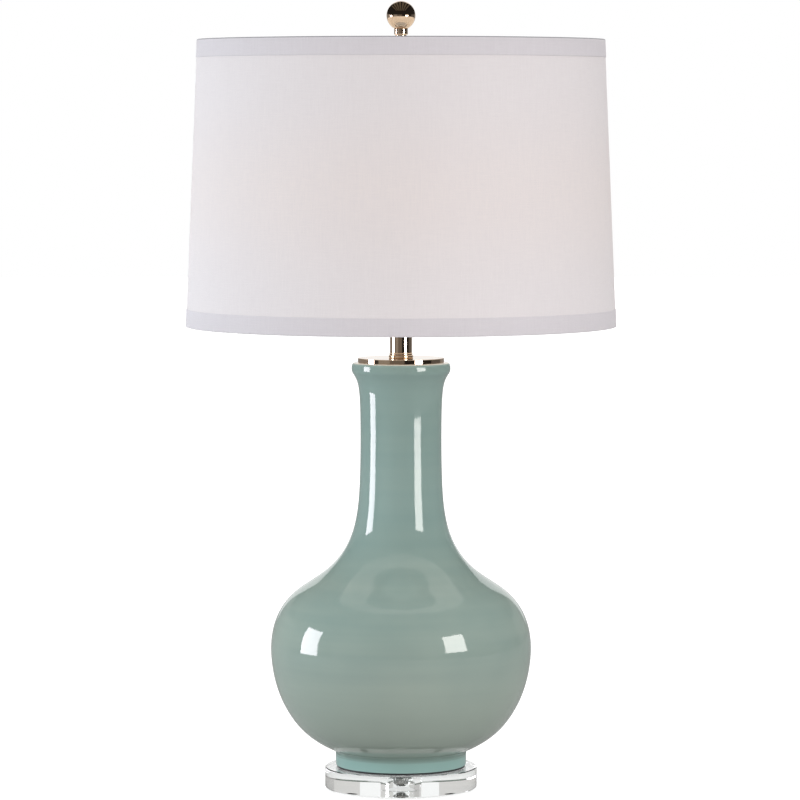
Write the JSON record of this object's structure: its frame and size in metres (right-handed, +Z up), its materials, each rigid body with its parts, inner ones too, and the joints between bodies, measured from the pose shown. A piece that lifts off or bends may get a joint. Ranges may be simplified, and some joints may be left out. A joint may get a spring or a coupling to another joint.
{
  "type": "table lamp",
  "caption": "Table lamp with a glazed bottle-shaped vase on a clear disc base, a tapered drum shade on a harp, a ball finial and a turn switch socket.",
  "frame": {"origin": "on the surface that the lamp stands on, under the middle of the base", "axes": "+Z up along the lamp pipe; front -Y, so +X is to the right as the lamp faces the viewer; the cord inlet and the rear shade arm are at +Y"},
  "size_m": [0.4571, 0.4572, 0.8382],
  "materials": {
    "clear_acrylic": "thick clear cast acrylic, polished all over",
    "clear_bumper": "clear soft polyurethane",
    "black_rubber": "matt black",
    "celadon_glaze": "glossy grey-green glaze that pools darker in hollows and breaks paler at edges",
    "polished_nickel": "warm polished nickel, mirror bright",
    "socket_nickel": "satin nickel plate",
    "zinc_steel": "zinc plated steel",
    "black_plastic": "moulded black",
    "liner_paper": "brown insulating paper",
    "contact_brass": "plain brass",
    "thread_aluminium": "thin rolled shell",
    "solder": "soft solder",
    "black_glass": "black insulating glass",
    "frosted_glass": "inside-frosted white",
    "white_wire": "white enamelled steel wire",
    "white_styrene": "white styrene sheet",
    "shade_linen": "plain woven off-white linen",
    "shade_trim": "folded band of the same linen"
  },
  "bodies": {
    "lamp": {"base_bumpers": "clear_bumper", "base_disc": "clear_acrylic", "base_washer": "zinc_steel", "base_lock_washer": "zinc_steel", "base_nut": "zinc_steel", "lamp_pipe": "zinc_steel", "foot_gasket": "black_rubber", "vase_body": "celadon_glaze", "cord_bushing": "black_plastic", "vase_cap": "polished_nickel", "neck_ring": "polished_nickel", "neck_tube": "polished_nickel", "harp_saddle": "polished_nickel", "harp_bow": "polished_nickel", "harp_stud": "polished_nickel", "socket_cap": "socket_nickel", "socket_set_screw": "zinc_steel", "socket_shell": "socket_nickel", "socket_liner": "liner_paper", "socket_interior": "black_plastic", "terminal_screws": "contact_brass", "centre_contact": "contact_brass", "screw_shell": "thread_aluminium"},
    "left_sleeve": {"harp_sleeve_left": "polished_nickel"},
    "right_sleeve": {"harp_sleeve_right": "polished_nickel"},
    "switch": {"switch_shaft": "zinc_steel", "switch_knob": "black_plastic"},
    "bulb": {"bulb_contact": "solder", "bulb_insulator": "black_glass", "bulb_base": "thread_aluminium", "bulb_glass": "frosted_glass"},
    "shade": {"spider_fitter": "white_wire", "shade_bottom_ring": "white_wire", "shade_liner": "white_styrene", "shade_fabric": "shade_linen", "shade_top_trim": "shade_trim", "shade_bottom_trim": "shade_trim"},
    "finial": {"finial_neck": "polished_nickel", "finial_ball": "polished_nickel"}
  },
  "joints": [
    {"name": "left_sleeve_slide", "type": "slide", "parent": "lamp", "child": "left_sleeve", "axis": [0, 0, 1], "range_m": [0, 0.014]},
    {"name": "right_sleeve_slide", "type": "slide", "parent": "lamp", "child": "right_sleeve", "axis": [0, 0, 1], "range_m": [0, 0.014]},
    {"name": "switch_turn", "type": "hinge", "parent": "lamp", "child": "switch", "pos_m": [0, -0.0197, 0.5454], "axis": [0, -1, 0], "continuous": true},
    {"name": "bulb_turn", "type": "hinge", "parent": "lamp", "child": "bulb", "pos_m": [0, 0, 0.5556], "axis": [0, 0, 1], "continuous": true},
    {"name": "shade_turn", "type": "hinge", "parent": "lamp", "child": "shade", "pos_m": [0, 0, 0.7853], "axis": [0, 0, 1], "continuous": true},
    {"name": "finial_turn", "type": "hinge", "parent": "lamp", "child": "finial", "pos_m": [0, 0, 0.7878], "axis": [0, 0, 1], "continuous": true}
  ]
}
